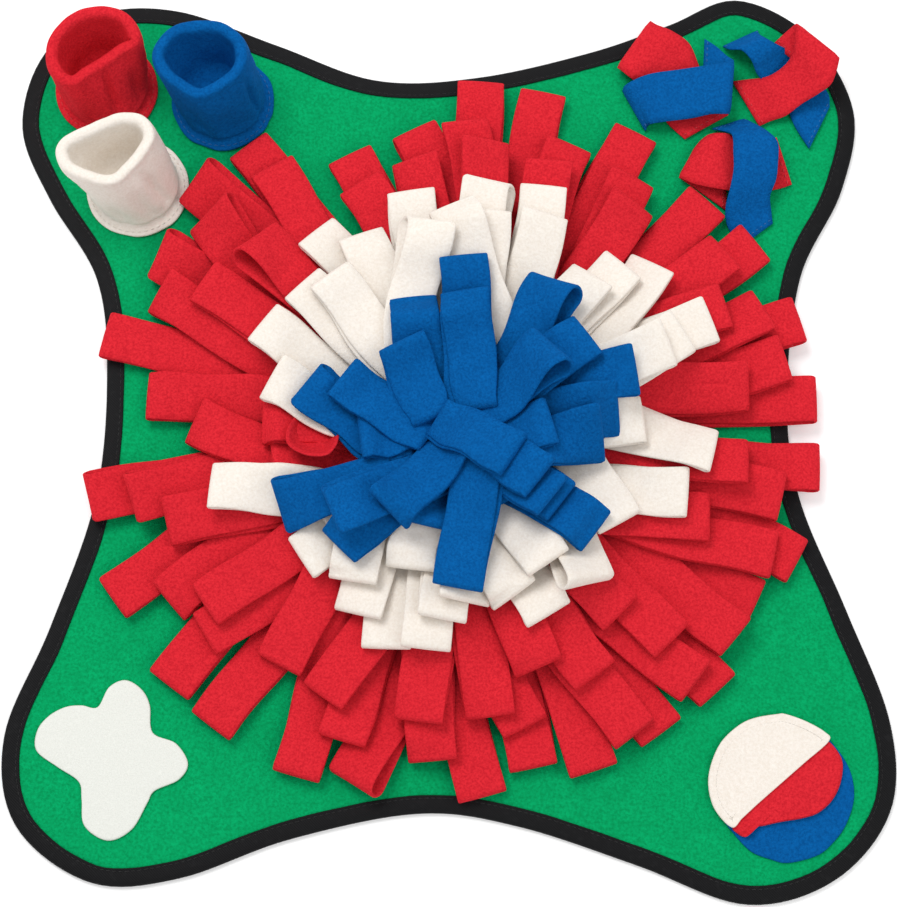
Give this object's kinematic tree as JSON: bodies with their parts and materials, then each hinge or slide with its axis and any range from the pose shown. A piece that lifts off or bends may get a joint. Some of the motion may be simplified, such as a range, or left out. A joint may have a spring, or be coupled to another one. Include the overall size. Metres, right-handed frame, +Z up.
{
  "type": "snuffle mat",
  "caption": "Fleece snuffle mat with curved bound edges, a dense rosette of folded strips, open cups, crossed ties, a sewn bone patch and a round pocket.",
  "frame": {"origin": "on the floor, under the middle of the mat's bounding box", "axes": "+Z up; +Y towards the lobes with the cups and the ties, +X towards the lobes with the ties and the pocket"},
  "size_m": [0.4994, 0.529, 0.0736],
  "materials": {
    "green_fleece": "anti-pill fleece, fine matte nap",
    "binding_tape": "black woven polyester tape, slight sheen",
    "red_fleece": "fleece, fine matte nap, raw cut edges",
    "white_fleece": "cream fleece, fine matte nap, raw cut edges",
    "blue_fleece": "fleece, fine matte nap, raw cut edges",
    "patch_fleece": "white short-nap fleece, sewn flat"
  },
  "bodies": {
    "root": {"mat_panel": "green_fleece", "edge_binding": "binding_tape", "red_course_1": "red_fleece", "red_course_2": "red_fleece", "red_course_3": "red_fleece", "white_course_1": "white_fleece", "white_course_2": "white_fleece", "white_course_3": "white_fleece", "blue_course_1": "blue_fleece", "blue_course_2": "blue_fleece", "blue_course_3": "blue_fleece", "blue_top_strip": "blue_fleece", "cup_red": "red_fleece", "cup_blue": "blue_fleece", "cup_white": "white_fleece", "tie_1_red": "red_fleece", "tie_1_blue": "blue_fleece", "tie_2_blue": "blue_fleece", "tie_2_red": "red_fleece", "tie_3_red": "red_fleece", "tie_3_blue": "blue_fleece", "bone_patch": "patch_fleece", "pocket_base": "blue_fleece", "pocket_half": "white_fleece", "pocket_flap": "red_fleece"}
  },
  "joints": []
}
